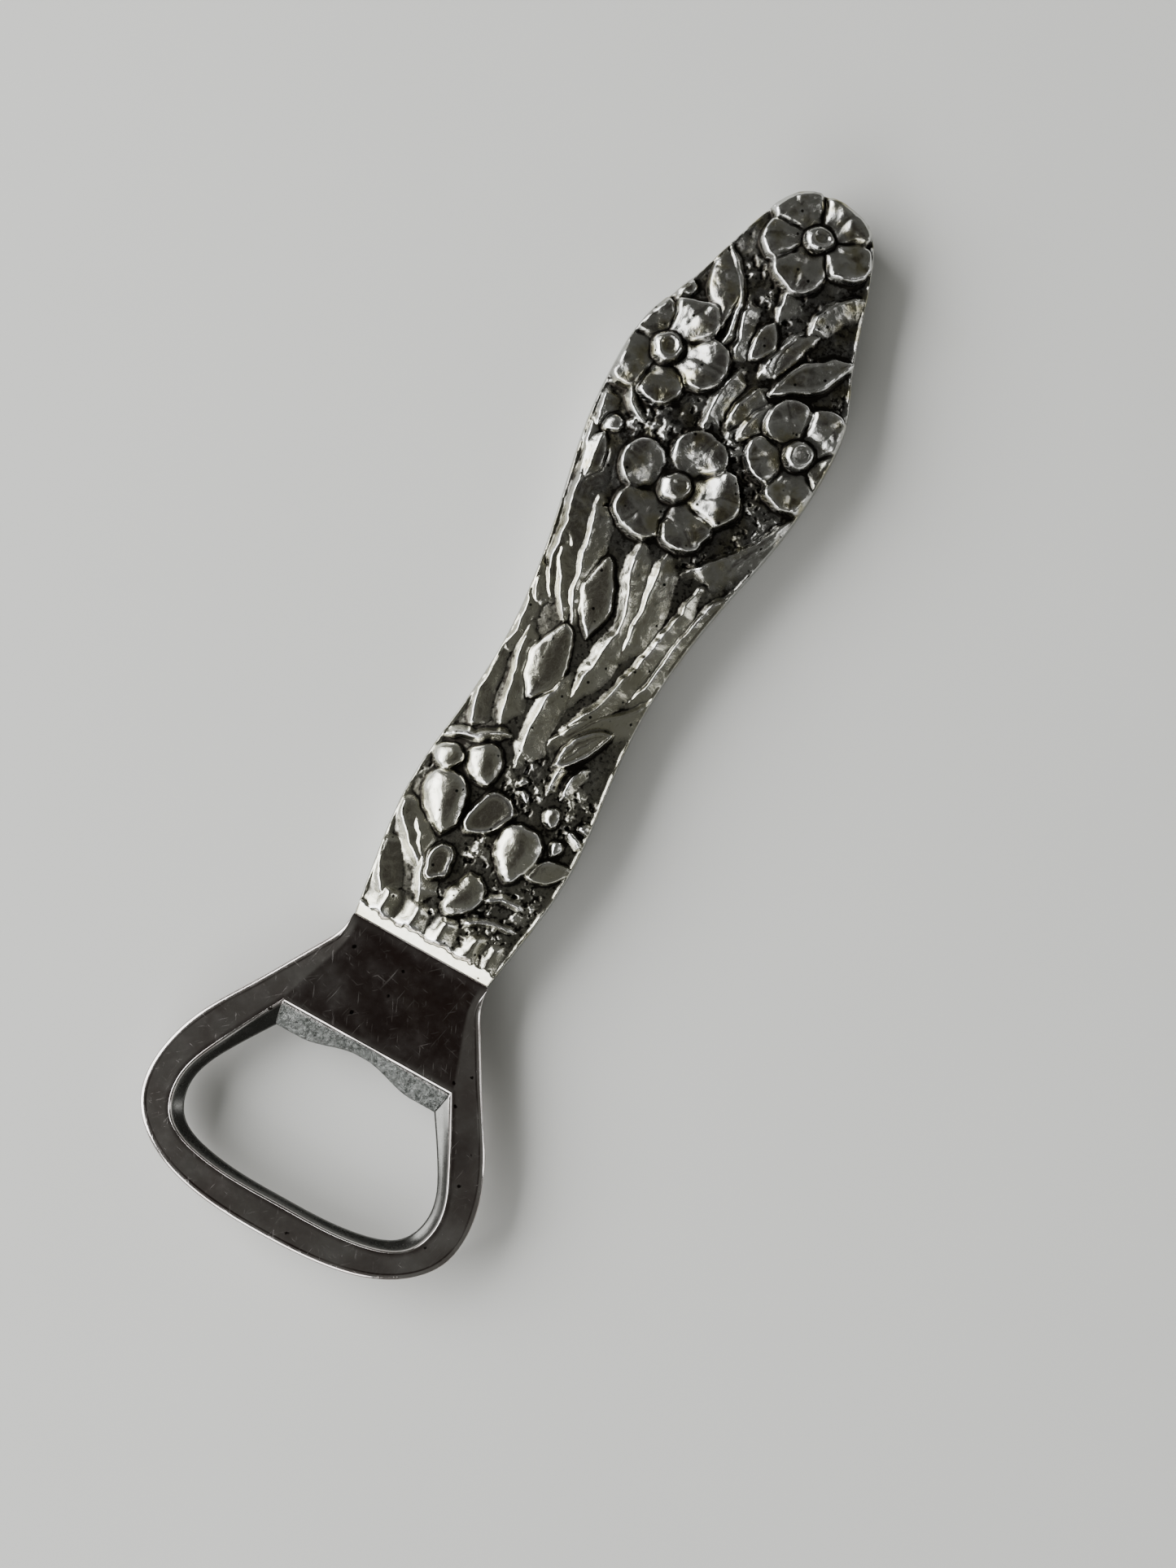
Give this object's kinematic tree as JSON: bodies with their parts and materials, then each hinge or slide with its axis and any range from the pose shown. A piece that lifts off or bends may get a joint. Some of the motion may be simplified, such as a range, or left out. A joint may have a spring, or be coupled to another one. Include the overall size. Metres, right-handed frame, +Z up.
{
  "type": "bottle opener",
  "caption": "Flat hand bottle opener with a D-shaped cap opening in a polished plate head and a slender cast handle with flowers and leaves in relief.",
  "frame": {"origin": "middle of the bounding box's bottom face, on the surface that the handle's flat back rests on", "axes": "+Y runs along the opener from the head to the handle's tip, +X is to the right seen from the relief side, +Z points up out of the relief"},
  "size_m": [0.039, 0.1312, 0.008],
  "materials": {
    "polished_head": "bright chrome plate with fine scratches and a few small pits",
    "antiqued_casting": "plated relief casting, polished high spots and blackened, pitted recesses",
    "plain_casting": "plated plain casting, softly polished with light wear",
    "bedding": "dull grey filled resin, hidden",
    "pin_steel": "plain ground pin, hidden"
  },
  "bodies": {
    "root": {"opener_head": "polished_head", "handle_front": "antiqued_casting", "handle_back": "plain_casting", "tang_bedding": "bedding", "tang_pin_lower": "pin_steel", "tang_pin_upper": "pin_steel"}
  },
  "joints": []
}
